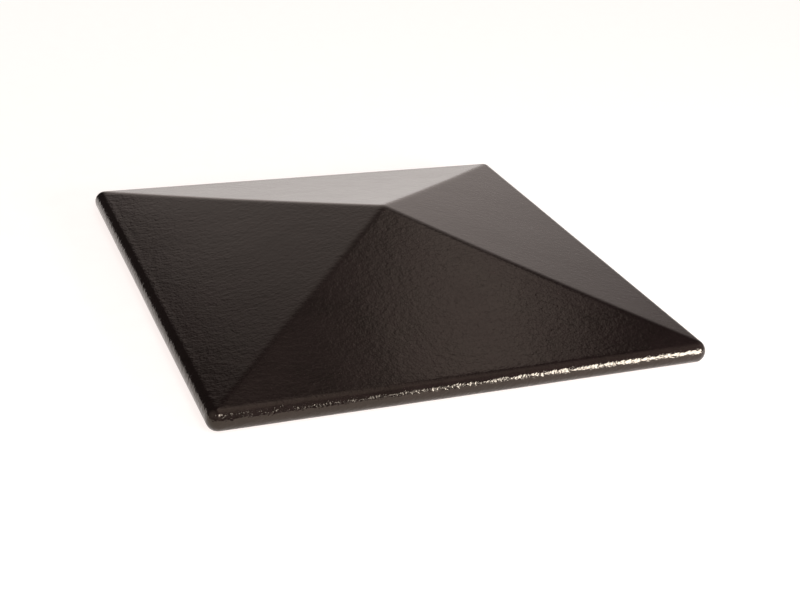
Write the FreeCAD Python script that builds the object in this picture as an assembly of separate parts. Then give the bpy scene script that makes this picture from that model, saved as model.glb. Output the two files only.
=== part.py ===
import FreeCAD, Part

import math
import os

# Glazed stoneware cap for a square masonry fence post.
#
# A low four-sided pyramid with a bullnose rim. The clay body is hollow underneath, with a bearing land
# that sits over the post, cross ribs, a centre boss and a drip groove outside the post's faces. A threaded
# steel socket is set in resin in the boss, and takes the rod that ties the cap down. Four pads carry the
# cap and four foam strips seal the bed joint.
#
# Own frame: origin on the post's top face at the cap's centre, +Z up, X and Y along the rim.

V = FreeCAD.Vector

# Driving dimensions, millimetres. Walls and radii are measured square to the surface.
# Post and overall size
post_width = 380.0
overhang = 32.5
cap_height = 76.0
# Roof
rim_radius = 9.4
rim_flat = 0.6
facet_sag = 1.2
roof_wall = 17.0
# Glaze
glaze_thickness = 0.6
glaze_stop = 2.2
# Hollow underside
land_width = 35.0
hollow_radius = 14.0
rib_thickness = 14.0
rib_recess = 12.0
pocket_radius = 8.0
mouth_radius = 3.0
boss_edge_radius = 2.0
# Drip groove
drip_width = 8.0
drip_depth = 5.0
drip_corner_radius = 8.0
drip_roof_share = 0.45  # radius of the roof's edges, as a share of the groove's width: nearly a half round
# Anchor boss and socket
boss_diameter = 56.0
boss_recess = 5.0
socket_diameter = 16.0
socket_length = 34.0
thread_bore = 8.5
thread_depth = 28.0
mouth_chamfer = 1.0
key_groove_count = 3
key_groove_width = 3.0
key_groove_depth = 0.8
resin_wall = 2.0
resin_end = 3.0
# Bedding
pad_diameter = 18.0
pad_thickness = 3.0
pad_edge_radius = 0.6
strip_width = 10.0
strip_inset = 2.0
strip_edge_radius = 0.5

# Derived places
post_half = post_width / 2
cap_half = post_half + overhang
clay_base = pad_thickness
outer_radius = rim_radius + glaze_thickness
core_half = cap_half - outer_radius
core_base = clay_base + rim_radius
core_eave = core_base + rim_flat
core_peak = clay_base + cap_height - outer_radius
hollow_half = post_half - land_width
rib_face = clay_base + rib_recess
boss_face = clay_base + boss_recess
socket_top = boss_face + socket_length
hole_radius = socket_diameter / 2 + resin_wall
hole_top = socket_top + resin_end
BELOW = 10.0  # how far a cutter starts below the surface that it cuts
NEAR = 0.1  # how far apart two places may be and still count as one


def concave_pyramid(half, base, eave, peak, sag):
    """A square block with a four-sided roof, whose facets sag below the straight line from eave to peak."""
    middle = (eave + peak) / 2 - sag
    corners = [V(-half, 0, eave), V(-half, 0, base), V(half, 0, base), V(half, 0, eave)]
    edges = [Part.LineSegment(a, b).toShape() for a, b in zip(corners, corners[1:])]
    edges.append(Part.Arc(V(half, 0, eave), V(half / 2, 0, middle), V(0, 0, peak)).toShape())
    edges.append(Part.Arc(V(0, 0, peak), V(-half / 2, 0, middle), V(-half, 0, eave)).toShape())
    section = Part.Face(Part.Wire(edges))
    length = 3 * half
    along_y = section.extrude(V(0, length, 0))
    along_y.translate(V(0, -length / 2, 0))
    along_x = along_y.copy()
    along_x.rotate(V(0, 0, 0), V(0, 0, 1), 90)
    return along_y.common(along_x).Solids[0]


def grown(shape, radius):
    """A shape grown all round, so that every edge and corner is rounded to that radius."""
    return shape.makeOffsetShape(radius, 0.0001, join=0).Solids[0]


def cap_form(radius):
    """The cap's outer form, with its rim, corners, ridges and tip rounded to radius."""
    return grown(concave_pyramid(core_half, core_base, core_eave, core_peak, facet_sag), radius)


def facet_height(x):
    """Height of the outer form's core at the distance x from its axis, along the middle of a facet."""
    share = x / core_half
    return core_peak - (core_peak - core_eave) * share - 4 * facet_sag * share * (1 - share)


def hollow_form():
    """The room under the roof before its ribs: the outer form again, roof_wall further in."""
    half = hollow_half - hollow_radius
    slope = math.atan2(core_peak - core_eave, core_half)
    drop = (roof_wall + hollow_radius - rim_radius) / math.cos(slope)
    sag = facet_sag * (half / core_half) ** 2
    base = clay_base - BELOW - hollow_radius
    return grown(concave_pyramid(half, base, facet_height(half) - drop, core_peak - drop, sag), hollow_radius)


def upright_edges(shape):
    found = []
    for edge in shape.Edges:
        way = edge.Vertexes[-1].Point - edge.Vertexes[0].Point
        if way.Length > NEAR and abs(way.z) > 0.999 * way.Length:
            found.append(edge)
    return found


def reach(edge):
    """How far the middle of an edge stands from the centre planes, measured square to the rim."""
    return max(abs(edge.CenterOfMass.x), abs(edge.CenterOfMass.y))


def edges_at(shape, height):
    """The edges that lie flat at one height."""
    return [e for e in shape.Edges
            if max(abs(e.BoundBox.ZMin - height), abs(e.BoundBox.ZMax - height)) < NEAR]


def square_block(half, bottom, top, corner_radius):
    """A square block about the Z axis with rounded upright corners."""
    block = Part.makeBox(2 * half, 2 * half, top - bottom, V(-half, -half, bottom))
    return block.makeFillet(corner_radius, upright_edges(block))


def drip_groove():
    """A square ring groove with a rounded roof, midway between the post's face and the rim's curve."""
    middle = post_half + (overhang - outer_radius) / 2
    outer = middle + drip_width / 2
    inner = middle - drip_width / 2
    top = clay_base + drip_depth
    bottom = clay_base - BELOW
    ring = square_block(outer, bottom, top, drip_corner_radius + drip_width)
    ring = ring.cut(square_block(inner, bottom, top, drip_corner_radius))
    roof = [e for e in ring.Edges if e.BoundBox.ZMin > top - NEAR]
    return ring.makeFillet(drip_roof_share * drip_width, roof)


def pocket_plan(boss):
    """An upright block over one quarter of the hollow, between two ribs, the outer walls and the boss."""
    rib = rib_thickness / 2
    side = hollow_half - rib
    block = Part.makeBox(side, side, cap_height, V(rib, rib, rib_face)).cut(boss)
    outer_corner = [e for e in upright_edges(block)
                    if e.CenterOfMass.x + e.CenterOfMass.y > 2 * hollow_half - NEAR]
    block = block.makeFillet(hollow_radius, outer_corner)
    rib_corners = [e for e in upright_edges(block) if min(e.CenterOfMass.x, e.CenterOfMass.y) < rib + NEAR]
    return block.makeFillet(pocket_radius, rib_corners)


def hollow_cutter():
    """What is taken out underneath: a square mouth, then one pocket in each quarter between the ribs."""
    form = hollow_form()
    boss = Part.makeCylinder(boss_diameter / 2, cap_height, V(0, 0, boss_face))
    mouth = Part.makeBox(2 * cap_half, 2 * cap_half, rib_face + BELOW, V(-cap_half, -cap_half, -BELOW))
    cutter = form.common(mouth).cut(boss)
    pocket = form.common(pocket_plan(boss))
    for turn in range(4):
        piece = pocket.copy()
        piece.rotate(V(0, 0, 0), V(0, 0, 1), 90 * turn)
        cutter = cutter.fuse(piece)
    return cutter.removeSplitter()


def clay_body():
    body = cap_form(rim_radius).cut(hollow_cutter())
    mouth = [e for e in edges_at(body, clay_base) if reach(e) < hollow_half + NEAR]
    body = body.makeFillet(mouth_radius, mouth)
    body = body.makeFillet(boss_edge_radius, edges_at(body, boss_face))
    body = body.cut(drip_groove())
    anchor_hole = Part.makeCylinder(hole_radius, hole_top - boss_face + BELOW, V(0, 0, boss_face - BELOW))
    return body.cut(anchor_hole)


def glaze_coat():
    coat = cap_form(outer_radius).cut(cap_form(rim_radius))
    bare = Part.makeBox(4 * cap_half, 4 * cap_half, clay_base + glaze_stop + BELOW,
                        V(-2 * cap_half, -2 * cap_half, -BELOW))
    return coat.cut(bare)


def socket_outside():
    """The socket's outer form: a round bar with ring grooves that key it into the resin."""
    bar = Part.makeCylinder(socket_diameter / 2, socket_length, V(0, 0, boss_face))
    pitch = socket_length / (key_groove_count + 1)
    for n in range(key_groove_count):
        bottom = V(0, 0, boss_face + pitch * (n + 1) - key_groove_width / 2)
        ring = Part.makeCylinder(socket_diameter, key_groove_width, bottom)
        ring = ring.cut(Part.makeCylinder(socket_diameter / 2 - key_groove_depth, key_groove_width, bottom))
        bar = bar.cut(ring)
    return bar


def anchor_socket():
    bore = Part.makeCylinder(thread_bore / 2, thread_depth, V(0, 0, boss_face))
    mouth = Part.makeCone(thread_bore / 2 + mouth_chamfer, thread_bore / 2, mouth_chamfer, V(0, 0, boss_face))
    return socket_outside().cut(bore).cut(mouth)


def socket_resin():
    plug = Part.makeCylinder(hole_radius, hole_top - boss_face, V(0, 0, boss_face))
    return plug.cut(socket_outside())


def setting_pad(sign_x, sign_y):
    """A disc on the land's inner side, clear of the sealing strips."""
    strip_inner = post_half - strip_inset - strip_width
    place = (strip_inner + hollow_half) / 2
    disc = Part.makeCylinder(pad_diameter / 2, pad_thickness, V(sign_x * place, sign_y * place, 0))
    rim = [e for e in disc.Edges if e.BoundBox.ZMax < NEAR]
    return disc.makeFillet(pad_edge_radius, rim)


def bedding_strip(angle, full_length):
    """One side of the foam seal, just inside the post's face. Two sides run full length, two fit between."""
    outer = post_half - strip_inset
    half = outer if full_length else outer - strip_width
    strip = Part.makeBox(2 * half, strip_width, pad_thickness, V(-half, -outer, 0))
    long_edges = [e for e in strip.Edges if e.BoundBox.ZMax < NEAR and e.BoundBox.XLength > half]
    strip = strip.makeFillet(strip_edge_radius, long_edges)
    strip.rotate(V(0, 0, 0), V(0, 0, 1), angle)
    return strip


def main():
    nodes = {
        "clay_body": clay_body(),
        "glaze_coat": glaze_coat(),
        "anchor_socket": anchor_socket(),
        "socket_resin": socket_resin(),
    }
    for name, sign_x, sign_y in (("front_left", -1, -1), ("front_right", 1, -1),
                                 ("back_right", 1, 1), ("back_left", -1, 1)):
        nodes["setting_pad_" + name] = setting_pad(sign_x, sign_y)
    for turn, name in enumerate(("front", "right", "back", "left")):
        nodes["bedding_strip_" + name] = bedding_strip(90 * turn, turn % 2 == 0)
    os.makedirs("parts", exist_ok=True)
    for name, shape in nodes.items():
        shape.exportStep(f"parts/{name}.step")
        print(f"{name}: {shape.Volume / 1000:.2f} cm3, valid {shape.isValid()}, solids {len(shape.Solids)}")


main()
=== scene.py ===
import bmesh
import bpy
import math
from mathutils import Matrix, Vector


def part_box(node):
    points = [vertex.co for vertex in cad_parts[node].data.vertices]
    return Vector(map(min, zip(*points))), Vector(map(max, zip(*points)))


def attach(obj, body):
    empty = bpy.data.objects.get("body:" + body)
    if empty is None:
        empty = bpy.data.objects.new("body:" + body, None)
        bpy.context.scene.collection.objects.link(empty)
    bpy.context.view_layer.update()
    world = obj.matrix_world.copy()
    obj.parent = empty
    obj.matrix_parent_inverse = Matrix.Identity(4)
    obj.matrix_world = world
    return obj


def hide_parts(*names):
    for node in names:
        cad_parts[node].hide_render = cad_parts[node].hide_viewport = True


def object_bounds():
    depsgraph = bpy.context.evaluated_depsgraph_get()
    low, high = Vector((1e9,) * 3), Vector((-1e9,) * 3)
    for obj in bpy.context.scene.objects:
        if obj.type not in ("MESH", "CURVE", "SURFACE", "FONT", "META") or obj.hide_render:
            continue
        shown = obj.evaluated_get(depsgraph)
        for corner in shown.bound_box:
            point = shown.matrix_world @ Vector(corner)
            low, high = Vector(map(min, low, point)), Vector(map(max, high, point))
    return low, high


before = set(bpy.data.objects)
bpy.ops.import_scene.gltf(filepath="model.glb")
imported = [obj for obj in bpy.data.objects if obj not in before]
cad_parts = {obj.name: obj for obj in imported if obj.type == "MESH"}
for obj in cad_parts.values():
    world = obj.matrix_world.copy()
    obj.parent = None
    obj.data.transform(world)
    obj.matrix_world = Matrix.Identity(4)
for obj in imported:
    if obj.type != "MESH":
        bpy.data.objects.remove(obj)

cad_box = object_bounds()

# ---------------------------------------------------------------------------------------------------------
# The clay body: grogged stoneware, pressed hollow in a plaster mould and fired once. Its underside stays
# bare, so it shows the open, sandy, red-brown clay that the glaze hides everywhere else.


def linear(hex_colour):
    """An sRGB hex colour as the linear colour that a shader takes."""
    shares = [int(hex_colour[i:i + 2], 16) / 255 for i in (1, 3, 5)]
    return tuple(s / 12.92 if s <= 0.04045 else ((s + 0.055) / 1.055) ** 2.4 for s in shares) + (1.0,)


def new_material(name):
    """A material with an empty Principled surface, and that surface's node."""
    material = bpy.data.materials.new(name)
    material.use_nodes = True
    return material, material.node_tree.nodes["Principled BSDF"]


def add(owner, kind, settings=None, stops=(), **inputs):
    """Adds a node to a material or world, with its settings, its ramp's stops and its links."""
    node = owner.node_tree.nodes.new(kind)
    for name, value in (settings or {}).items():
        setattr(node, name, value)
    for index, (position, colour) in enumerate(stops):
        points = node.color_ramp.elements
        point = points[index] if index < len(points) else points.new(position)
        point.position = position
        point.color = colour
    connect(owner, node, **inputs)
    return node


def connect(owner, node, **inputs):
    """Sets a node's inputs to values, or links them from other nodes' outputs. A name has underscores for
    spaces, and an input known only by its number is i0, i1 and so on."""
    for name, value in inputs.items():
        key = int(name[1:]) if name[0] == "i" and name[1:].isdigit() else name.replace("_", " ")
        if isinstance(value, bpy.types.NodeSocket):
            owner.node_tree.links.new(value, node.inputs[key])
        else:
            node.inputs[key].default_value = value


def dress(piece, material):
    piece.data.materials.clear()
    piece.data.materials.append(material)
    return piece


# Fired clay, pressed and bare: dull, sandy and brown. Grog grains of 1 to 2 mm stand proud, and the fire
# leaves paler and darker clouds some 60 mm wide.
clay, clay_surface = new_material("fired_clay_bare")
place = add(clay, "ShaderNodeTexCoord").outputs["Object"]
clouds = add(clay, "ShaderNodeTexNoise", Vector=place, Scale=1 / 0.060, Detail=4.0, Roughness=0.6)
grog = add(clay, "ShaderNodeTexVoronoi", Vector=place, Scale=1 / 0.0016)
sand = add(clay, "ShaderNodeTexNoise", Vector=place, Scale=1 / 0.0009, Detail=3.0)
body_colour = add(clay, "ShaderNodeValToRGB", Fac=clouds.outputs["Fac"],
                  stops=((0.35, linear("#5f3d2e")), (0.65, linear("#7f563f"))))
grain_colour = add(clay, "ShaderNodeValToRGB", Fac=grog.outputs["Distance"],
                   stops=((0.08, linear("#b79c7e")), (0.2, linear("#6d4737"))))
spotted = add(clay, "ShaderNodeMix", {"data_type": "RGBA"}, i0=0.35, i6=body_colour.outputs["Color"],
              i7=grain_colour.outputs["Color"])
height = add(clay, "ShaderNodeMath", {"operation": "ADD"}, i0=grog.outputs["Distance"],
             i1=sand.outputs["Fac"])
relief = add(clay, "ShaderNodeBump", Height=height.outputs["Value"], Distance=0.0003, Strength=0.7)
dullness = add(clay, "ShaderNodeMapRange", Value=sand.outputs["Fac"], i3=0.78, i4=0.95)
connect(clay, clay_surface, Base_Color=spotted.outputs[2], Roughness=dullness.outputs["Result"],
        Normal=relief.outputs["Normal"], IOR=1.5)
dress(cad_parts["clay_body"], clay)

# ---------------------------------------------------------------------------------------------------------
# The glaze: a poured, near-black iron glaze fused over the roof and rim. It follows the sagging facets,
# rounds the ridges and ends in a soft edge just above the underside.

glaze_low, glaze_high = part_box("glaze_coat")
clay_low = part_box("clay_body")[0]
rim_radius = 0.010
rim_flat = 0.0006
glaze_thickness = 0.0005
facet_sag = 0.0012
core_half = glaze_high.x - rim_radius
core_radius = 0.0094
lower_centre = clay_low.z + core_radius
upper_centre = lower_centre + rim_flat
core_peak = glaze_high.z - rim_radius
cells = 170
rings = cells // 2
cell = core_half / rings


def deselect_all():
    if bpy.context.object and bpy.context.object.mode != "OBJECT":
        bpy.ops.object.mode_set(mode="OBJECT")
    bpy.ops.object.select_all(action="DESELECT")


def pick(piece, chosen):
    """In edit mode, selects the vertices whose place is chosen, and what lies between them."""
    mesh = bmesh.from_edit_mesh(piece.data)
    for face in mesh.faces:
        face.select = False
    for edge in mesh.edges:
        edge.select = False
    for vertex in mesh.verts:
        vertex.select = chosen(vertex.co)
    mesh.select_flush(True)
    bmesh.update_edit_mesh(piece.data)


def core_height(x):
    """Height of the sagging facet's core line at the distance x from the axis."""
    share = x / core_half
    fall = core_peak - upper_centre
    return core_peak - fall * share - 4 * facet_sag * share * (1 - share)


def core_slope(x):
    share = x / core_half
    return (core_peak - upper_centre + 4 * facet_sag * (1 - 2 * share)) / core_half


def facet_height(x):
    """Height of the glazed facet: its core line, grown by the rim's radius."""
    return core_height(x) + rim_radius * math.sqrt(1 + core_slope(x) ** 2)


def finish_shape(piece, name):
    """Leaves edit mode, names the piece, and puts its place into its mesh."""
    deselect_all()
    piece.select_set(True)
    bpy.context.view_layer.objects.active = piece
    bpy.ops.object.transform_apply(location=True, rotation=True, scale=True)
    piece.name = name
    piece.data.name = name
    return piece


def apply_modifiers(piece):
    bpy.context.view_layer.objects.active = piece
    for name in [modifier.name for modifier in piece.modifiers]:
        bpy.ops.object.modifier_apply(modifier=name)


# The roof starts as a flat grid at eave height, and is raised ring by ring towards the tip.
deselect_all()
bpy.ops.mesh.primitive_grid_add(x_subdivisions=cells, y_subdivisions=cells, size=2 * core_half,
                                location=(0, 0, facet_height(core_half)))
roof = finish_shape(bpy.context.object, "glazed_roof")
bpy.ops.object.mode_set(mode="EDIT")
for ring in range(1, rings + 1):
    inside = core_half - (ring - 0.5) * cell
    rise = facet_height(core_half - ring * cell) - facet_height(core_half - (ring - 1) * cell)
    pick(roof, lambda co: max(abs(co.x), abs(co.y)) < inside)
    bpy.ops.transform.translate(value=(0, 0, rise))

# Glaze flows off the ridges, which rounds them by a few millimetres.
ridge_width = 0.004
pick(roof, lambda co: abs(abs(co.x) - abs(co.y)) < ridge_width * math.sqrt(2)
     and max(abs(co.x), abs(co.y)) < core_half - cell / 2)
bpy.ops.mesh.vertices_smooth(factor=0.5, repeat=2)

# The bullnose: each side of the roof is drawn out and down along the rim's section.
eave_angle = math.atan(core_slope(core_half))
upper_steps = 12
lower_steps = 8
end_angle = math.asin((glaze_low.z - lower_centre) / rim_radius)
section = [(0.0, facet_height(core_half))]
for step in range(upper_steps + 1):
    angle = (math.pi / 2 - eave_angle) * (1 - step / upper_steps)
    section.append((rim_radius * math.cos(angle), upper_centre + rim_radius * math.sin(angle)))
for step in range(lower_steps + 1):
    angle = end_angle * step / lower_steps
    section.append((rim_radius * math.cos(angle), lower_centre + rim_radius * math.sin(angle)))

for turn in range(4):
    way = Vector((0, -1, 0))
    side = Vector((1, 0, 0))
    for vector in (way, side):
        vector.rotate(Matrix.Rotation(turn * math.pi / 2, 3, "Z"))
    pick(roof, lambda co: co.dot(way) > core_half - cell / 2 and abs(co.dot(side)) < core_half + cell / 4)
    for (out_a, up_a), (out_b, up_b) in zip(section, section[1:]):
        move = way * (out_b - out_a) + Vector((0, 0, up_b - up_a))
        bpy.ops.mesh.extrude_edges_move(TRANSFORM_OT_translate={"value": move})

# Each corner is the same section, turned a quarter round about the corner's own axis.
corner_steps = 12
for turn in range(4):
    quarter = Matrix.Rotation(turn * math.pi / 2, 3, "Z")
    corner = Vector((core_half, -core_half, 0))
    along = Vector((1, 0, 0))
    out = Vector((0, -1, 0))
    for vector in (corner, along, out):
        vector.rotate(quarter)
    pick(roof, lambda co: abs((co - corner).dot(along)) < cell / 4 and (co - corner).dot(out) > -cell / 4)
    bpy.ops.mesh.spin(steps=corner_steps, angle=-math.pi / 2, center=corner, axis=(0, 0, 1))
bpy.ops.mesh.select_all(action="SELECT")
bpy.ops.mesh.remove_doubles(threshold=0.00002)
bpy.ops.mesh.normals_make_consistent(inside=False)
bpy.ops.object.mode_set(mode="OBJECT")

# The clay under the glaze was never quite flat: it warps by a tenth or two of a millimetre over a hand's
# width in drying, and the thick glaze pools in waves about a thumb wide.
for name, width, swing in (("drying_warp", 0.090, 0.00030), ("glaze_pools", 0.022, 0.00006)):
    unevenness = bpy.data.textures.new(name, "CLOUDS")
    unevenness.noise_scale = width
    unevenness.noise_depth = 1
    push = roof.modifiers.new(name, "DISPLACE")
    push.texture = unevenness
    push.texture_coords = "LOCAL"
    push.strength = swing
    push.mid_level = 0.5
coat = roof.modifiers.new("glaze_thickness", "SOLIDIFY")
coat.thickness = glaze_thickness
coat.offset = -1
apply_modifiers(roof)
bpy.ops.object.shade_smooth_by_angle(angle=math.radians(50))

# Iron-brown stoneware glaze, poured and fired: a glassy, nearly black coat whose leathery skin breaks up
# what it reflects. Its ripples are 4 mm wide, nearly 6 mm along the front, with finer pits between them.
# The iron in it warms the reflections, most where they are seen straight on. Round the rim it crawls as it
# cools, so its skin stands several times higher there.
rim_peel = 3.6
peel_starts = upper_centre + 0.4 * rim_radius
peel_ends = upper_centre + 1.1 * rim_radius
glaze, glaze_surface = new_material("iron_glaze_fired")
place = add(glaze, "ShaderNodeTexCoord").outputs["Object"]
clouds = add(glaze, "ShaderNodeTexNoise", Vector=place, Scale=1 / 0.045, Detail=5.0, Roughness=0.6)
speckle = add(glaze, "ShaderNodeTexNoise", Vector=place, Scale=1 / 0.0022, Detail=2.0)
mottle = add(glaze, "ShaderNodeMath", {"operation": "MULTIPLY_ADD"}, i0=speckle.outputs["Fac"], i1=0.8,
             i2=clouds.outputs["Fac"])
colour = add(glaze, "ShaderNodeValToRGB", Fac=mottle.outputs["Value"],
             stops=((0.7, linear("#110b0a")), (1.0, linear("#181010"))))
run_out = add(glaze, "ShaderNodeMapping", Vector=place, Scale=(0.7, 1, 1))
ripples = add(glaze, "ShaderNodeTexNoise", Vector=run_out.outputs["Vector"], Scale=1 / 0.0040, Detail=2.0,
              Roughness=0.5, Distortion=0.4)
pits = add(glaze, "ShaderNodeTexNoise", Vector=place, Scale=1 / 0.0018, Detail=1.0)
skin = add(glaze, "ShaderNodeMath", {"operation": "MULTIPLY_ADD"}, i0=pits.outputs["Fac"], i1=0.45,
           i2=ripples.outputs["Fac"])
place_parts = add(glaze, "ShaderNodeSeparateXYZ", Vector=place)
rim_share = add(glaze, "ShaderNodeMapRange", Value=place_parts.outputs["Z"], i1=peel_starts, i2=peel_ends,
                i3=rim_peel, i4=1.0)
peel = add(glaze, "ShaderNodeMath", {"operation": "MULTIPLY"}, i0=skin.outputs["Value"],
           i1=rim_share.outputs["Result"])
relief = add(glaze, "ShaderNodeBump", Height=peel.outputs["Value"], Distance=0.00014, Strength=1.0)
gloss = add(glaze, "ShaderNodeMapRange", Value=clouds.outputs["Fac"], i1=0.3, i2=0.7, i3=0.09, i4=0.14)
connect(glaze, glaze_surface, Base_Color=colour.outputs["Color"], Roughness=gloss.outputs["Result"],
        Normal=relief.outputs["Normal"], IOR=1.52, Specular_Tint=linear("#fff0dc"))
dress(roof, glaze)
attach(roof, "root")
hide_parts("glaze_coat")

# ---------------------------------------------------------------------------------------------------------
# The anchor socket: a turned stainless bush with an M10 thread, which takes the tie rod from the post. It
# stays the CAD solid, because only its lower face and the thread's mouth show.

# Stainless steel, turned: fine rings round the axis, with a soft satin shine.
steel, steel_surface = new_material("stainless_turned")
place = add(steel, "ShaderNodeTexCoord").outputs["Object"]
tool_marks = add(steel, "ShaderNodeTexWave", {"wave_type": "RINGS", "rings_direction": "Z"}, Vector=place,
                 Scale=1 / 0.0006, Distortion=1.0, Detail=2.0)
smears = add(steel, "ShaderNodeTexNoise", Vector=place, Scale=1 / 0.004, Detail=4.0)
relief = add(steel, "ShaderNodeBump", Height=tool_marks.outputs["Fac"], Distance=0.00002, Strength=0.6)
satin = add(steel, "ShaderNodeMapRange", Value=smears.outputs["Fac"], i3=0.24, i4=0.42)
metal_colour = add(steel, "ShaderNodeValToRGB", Fac=smears.outputs["Fac"],
                   stops=((0.3, linear("#b3b1ad")), (0.7, linear("#cfcdc8"))))
connect(steel, steel_surface, Base_Color=metal_colour.outputs["Color"], Roughness=satin.outputs["Result"],
        Metallic=1.0, Normal=relief.outputs["Normal"])
dress(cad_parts["anchor_socket"], steel)

# ---------------------------------------------------------------------------------------------------------
# The socket resin: a two-part mortar injected round the socket, which sets grey, with fine sand in it.

# Polyester mortar, set: a dull grey, gritty fill with a few air pinholes.
mortar, mortar_surface = new_material("polyester_mortar_set")
place = add(mortar, "ShaderNodeTexCoord").outputs["Object"]
grit = add(mortar, "ShaderNodeTexNoise", Vector=place, Scale=1 / 0.0012, Detail=4.0)
pinholes = add(mortar, "ShaderNodeTexVoronoi", Vector=place, Scale=1 / 0.0025)
grit_colour = add(mortar, "ShaderNodeValToRGB", Fac=grit.outputs["Fac"],
                  stops=((0.35, linear("#77736a")), (0.65, linear("#9b968a"))))
holes = add(mortar, "ShaderNodeMapRange", Value=pinholes.outputs["Distance"], i1=0.05, i2=0.15)
depth = add(mortar, "ShaderNodeMath", {"operation": "MULTIPLY_ADD"}, i0=grit.outputs["Fac"], i1=0.5,
            i2=holes.outputs["Result"])
relief = add(mortar, "ShaderNodeBump", Height=depth.outputs["Value"], Distance=0.0003, Strength=0.8)
connect(mortar, mortar_surface, Base_Color=grit_colour.outputs["Color"], Roughness=0.85,
        Normal=relief.outputs["Normal"], IOR=1.5)
dress(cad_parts["socket_resin"], mortar)

# ---------------------------------------------------------------------------------------------------------
# The setting pads: hard rubber discs that carry the cap at its four corners and set the bed joint's height.

# EPDM rubber, moulded: matt black with a faint bloom and the mould's fine matt grain.
rubber, rubber_surface = new_material("epdm_rubber_moulded")
place = add(rubber, "ShaderNodeTexCoord").outputs["Object"]
grain = add(rubber, "ShaderNodeTexNoise", Vector=place, Scale=1 / 0.0006, Detail=3.0)
bloom = add(rubber, "ShaderNodeTexNoise", Vector=place, Scale=1 / 0.006, Detail=4.0)
bloom_colour = add(rubber, "ShaderNodeValToRGB", Fac=bloom.outputs["Fac"],
                   stops=((0.35, linear("#17171a")), (0.7, linear("#2b2b2e"))))
relief = add(rubber, "ShaderNodeBump", Height=grain.outputs["Fac"], Distance=0.00008, Strength=0.7)
matt = add(rubber, "ShaderNodeMapRange", Value=bloom.outputs["Fac"], i3=0.55, i4=0.75)
connect(rubber, rubber_surface, Base_Color=bloom_colour.outputs["Color"], Roughness=matt.outputs["Result"],
        Normal=relief.outputs["Normal"], IOR=1.52)

pad_edge = 0.0006
pad_ring_width = 0.0012
pad_ring_depth = 0.0003
for name in ("front_left", "front_right", "back_right", "back_left"):
    node = "setting_pad_" + name
    low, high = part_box(node)
    deselect_all()
    bpy.ops.mesh.primitive_cylinder_add(vertices=64, radius=(high.x - low.x) / 2, depth=high.z - low.z,
                                        location=(low + high) / 2)
    pad = finish_shape(bpy.context.object, node + "_disc")
    bpy.ops.object.mode_set(mode="EDIT")
    bpy.ops.mesh.select_all(action="DESELECT")
    bpy.ops.mesh.select_mode(type="FACE")
    shape = bmesh.from_edit_mesh(pad.data)
    for face in shape.faces:
        face.select = face.normal.z < -0.9
    bmesh.update_edit_mesh(pad.data)
    bpy.ops.mesh.bevel(offset=pad_edge, segments=3, affect="EDGES")
    for ring in range(2):
        bpy.ops.mesh.select_all(action="DESELECT")
        shape = bmesh.from_edit_mesh(pad.data)
        for face in shape.faces:
            face.select = face.normal.z < -0.9 and len(face.verts) > 8
        bmesh.update_edit_mesh(pad.data)
        bpy.ops.mesh.inset(thickness=pad_ring_width, depth=0)
        bpy.ops.mesh.inset(thickness=pad_ring_width / 3, depth=-pad_ring_depth)
        bpy.ops.mesh.inset(thickness=pad_ring_width, depth=0)
        bpy.ops.mesh.inset(thickness=pad_ring_width / 3, depth=pad_ring_depth)
    bpy.ops.mesh.select_mode(type="VERT")
    bpy.ops.object.mode_set(mode="OBJECT")
    bpy.ops.object.shade_smooth_by_angle(angle=math.radians(40))
    dress(pad, rubber)
    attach(pad, "root")
    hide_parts(node)

# ---------------------------------------------------------------------------------------------------------
# The bedding strips: closed-cell foam tape, stuck under the land just inside the post's faces, that the
# cap's weight presses a little, so that its edges bulge.

# EPDM foam, skived: charcoal, with cut cells some 0.5 mm wide all over.
foam, foam_surface = new_material("epdm_foam_skived")
place = add(foam, "ShaderNodeTexCoord").outputs["Object"]
cut_cells = add(foam, "ShaderNodeTexVoronoi", Vector=place, Scale=1 / 0.0008)
shade = add(foam, "ShaderNodeTexNoise", Vector=place, Scale=1 / 0.01, Detail=3.0)
# Painted shade: each cell's pit, where the bump sinks it, is coloured darker than the cell walls around it.
cell_colour_and_pit_shade = add(foam, "ShaderNodeValToRGB", Fac=cut_cells.outputs["Distance"],
                  stops=((0.1, linear("#19191a")), (0.5, linear("#38383a"))))
dust = add(foam, "ShaderNodeMix", {"data_type": "RGBA"}, i0=shade.outputs["Fac"],
           i6=cell_colour_and_pit_shade.outputs["Color"], i7=linear("#2c2b2a"))
relief = add(foam, "ShaderNodeBump", Height=cut_cells.outputs["Distance"], Distance=0.0004, Strength=0.8)
connect(foam, foam_surface, Base_Color=dust.outputs[2], Roughness=0.9, Normal=relief.outputs["Normal"],
        IOR=1.5)

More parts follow.
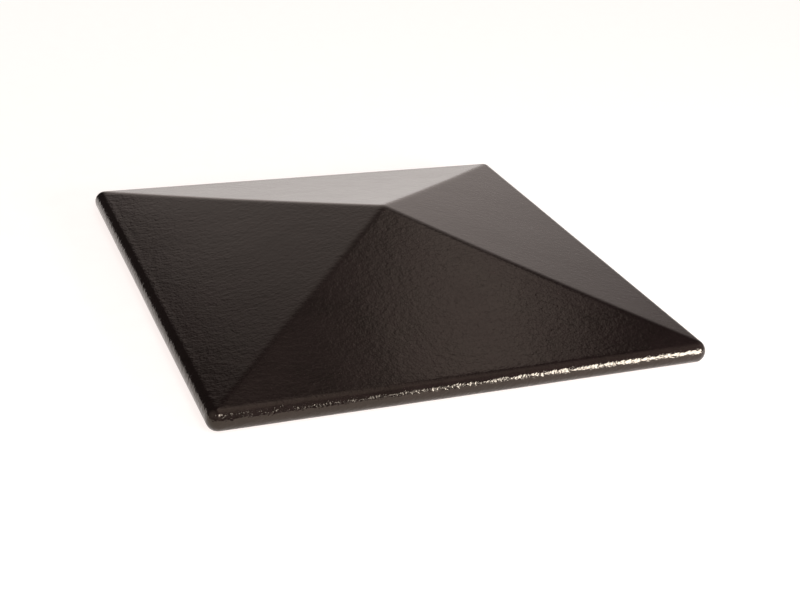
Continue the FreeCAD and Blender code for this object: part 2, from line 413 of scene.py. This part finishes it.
strip_bulge = 0.0004
strip_levels = 5
strip_cuts = 89
for name in ("front", "right", "back", "left"):
    node = "bedding_strip_" + name
    low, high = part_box(node)
    middle = (low + high) / 2
    size = high - low
    lengthways = 0 if size.x > size.y else 1
    deselect_all()
    bpy.ops.mesh.primitive_cube_add(size=1, location=middle, scale=size)
    strip = finish_shape(bpy.context.object, node + "_tape")
    bpy.ops.object.mode_set(mode="EDIT")
    pick(strip, lambda co: True)
    shape = bmesh.from_edit_mesh(strip.data)
    for edge in shape.edges:
        edge.select = abs((edge.verts[0].co - edge.verts[1].co)[lengthways]) > 0.1
    bmesh.update_edit_mesh(strip.data)
    bpy.ops.mesh.subdivide(number_cuts=strip_cuts)
    for step in range(strip_levels):
        share = (step + 1) / (strip_levels + 1)
        level = low.z + size.z * share
        bpy.ops.mesh.select_all(action="SELECT")
        bpy.ops.mesh.bisect(plane_co=(0, 0, level), plane_no=(0, 0, 1))
        swell = 1 + 2 * strip_bulge / size[1 - lengthways] * math.sin(math.pi * share)
        scale = (1, swell, 1) if lengthways == 0 else (swell, 1, 1)
        bpy.ops.transform.resize(value=scale, center_override=middle)
    bpy.ops.object.mode_set(mode="OBJECT")
    bpy.ops.object.shade_smooth_by_angle(angle=math.radians(35))
    dress(strip, foam)
    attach(strip, "root")
    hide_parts(node)

# ---------------------------------------------------------------------------------------------------------
# The studio: a white floor that runs out of sight and glows enough to hide its shadows, a dim warm room with
# soft glows above and around the cap, a low key lamp on the front right with a dimmer one beside it, and two
# small lamps aimed at the front left corner, one from the front and one from the left.

deselect_all()
floor_width = 24
bpy.ops.mesh.primitive_plane_add(size=floor_width, location=(0, 0, 0))
floor = bpy.context.object
floor.name = "floor"
floor_glow = 0.88
paper, paper_surface = new_material("studio_paper")
place = add(paper, "ShaderNodeTexCoord").outputs["Object"]
fibres = add(paper, "ShaderNodeTexNoise", Vector=place, Scale=1 / 0.02, Detail=3.0)
paper_colour = add(paper, "ShaderNodeValToRGB", Fac=fibres.outputs["Fac"],
                   stops=((0.3, linear("#a3a19e")), (0.7, linear("#aba9a6"))))
connect(paper, paper_surface, Base_Color=paper_colour.outputs["Color"], Roughness=0.9,
        Emission_Color=linear("#fff8f5"), Emission_Strength=floor_glow)
dress(floor, paper)


def bearing(azimuth, height):
    """The direction at an azimuth from straight in front, turning to the right, and a height, in degrees."""
    level = math.cos(math.radians(height))
    return Vector((math.sin(math.radians(azimuth)) * level, -math.cos(math.radians(azimuth)) * level,
                   math.sin(math.radians(height))))


# The room is nearly dark, apart from glows that fade from their middle outwards. Each has its bearing, its
# inner and outer radius in degrees, its strength, and its share: all of it, or what a black flag on the left
# lets through.
room = bpy.data.worlds.new("studio_room")
room.use_nodes = True
bpy.context.scene.world = room
way = add(room, "ShaderNodeTexCoord").outputs["Generated"]
across = add(room, "ShaderNodeSeparateXYZ", Vector=way)
flag = add(room, "ShaderNodeMapRange", {"interpolation_type": "SMOOTHSTEP"}, Value=across.outputs["X"],
           i1=-0.06, i2=0.01).outputs["Result"]
room_light = 0.05
light = room_light
for azimuth, height, inner, outer, strength, share in (
        (165, 6, 5, 40, 0.95, flag), (137.5, 50.5, 1.5, 6.6, 0.8, 1), (155, 37, 8, 18, 0.25, flag),
        (60, 76, 4, 25, 0.65, 1), (150, 72, 2, 19, 0.75, 1), (45, 45, 5, 30, 0.2, 1),
        (80, 25, 8, 42, 0.45, 1), (-10, 28, 8, 36, 0.45, 1), (-85, 35, 10, 50, 0.5, 1)):
    apart = add(room, "ShaderNodeVectorMath", {"operation": "DISTANCE"}, i0=way,
                i1=bearing(azimuth, height))
    edge = 2 * math.sin(math.radians(outer / 2))
    core = 2 * math.sin(math.radians(inner / 2))
    fade = add(room, "ShaderNodeMapRange", Value=apart.outputs["Value"], i1=edge, i2=core, i3=0.0,
               i4=strength)
    light = add(room, "ShaderNodeMath", {"operation": "MULTIPLY_ADD"}, i0=fade.outputs["Result"], i1=share,
                i2=light).outputs["Value"]
connect(room, room.node_tree.nodes["Background"], Color=linear("#fff1ec"), Strength=light)


def soft_lamp(name, aim, azimuth, height, distance, width, glow):
    """A square soft box that faces a point from a bearing and a distance, with a given radiance."""
    lamp = bpy.data.lights.new(name, "AREA")
    lamp.size = width
    lamp.energy = glow * math.pi * width ** 2
    holder = bpy.data.objects.new(name, lamp)
    bpy.context.scene.collection.objects.link(holder)
    holder.location = Vector(aim) + bearing(azimuth, height) * distance
    holder.rotation_euler = (-bearing(azimuth, height)).to_track_quat("-Z", "Y").to_euler()


front_right = Vector((cad_box[1].x * 0.7, cad_box[0].y, lower_centre))
front_left = Vector((cad_box[0].x, cad_box[0].y, upper_centre))
soft_lamp("key_softbox", front_right, 38, 12, 1.3, 0.58, 30)
soft_lamp("key_fringe", Vector((0, cad_box[0].y, lower_centre)), 23, 17, 1.3, 0.28, 6)
soft_lamp("left_lamp", front_left, 2, 50, 1.2, 0.32, 15)
soft_lamp("far_left_lamp", front_left, -48, 48, 1.2, 0.12, 16)

# The camera stands to the front left, looks down by 27 degrees, and is a little out of level.
camera_azimuth = math.radians(-24.79)
camera_elevation = math.radians(26.57)
camera_roll = math.radians(5.22)
camera_distance = 1.240
camera_aim = Vector((0.0183, -0.0169, -0.0123))
back = Vector((math.sin(camera_azimuth) * math.cos(camera_elevation),
               -math.cos(camera_azimuth) * math.cos(camera_elevation), math.sin(camera_elevation)))
right = Vector((math.cos(camera_azimuth), math.sin(camera_azimuth), 0))
up = back.cross(right)
rolled_right = right * math.cos(camera_roll) + up * math.sin(camera_roll)
rolled_up = up * math.cos(camera_roll) - right * math.sin(camera_roll)
camera = bpy.data.objects.new("camera", bpy.data.cameras.new("camera"))
camera.data.sensor_width = 36
camera.data.lens = 59.1
bpy.context.scene.collection.objects.link(camera)
camera.matrix_world = Matrix.Translation(camera_aim + back * camera_distance) @ Matrix(
    (rolled_right, rolled_up, back)).transposed().to_4x4()
bpy.context.scene.camera = camera
bpy.context.scene.view_settings.view_transform = "Standard"
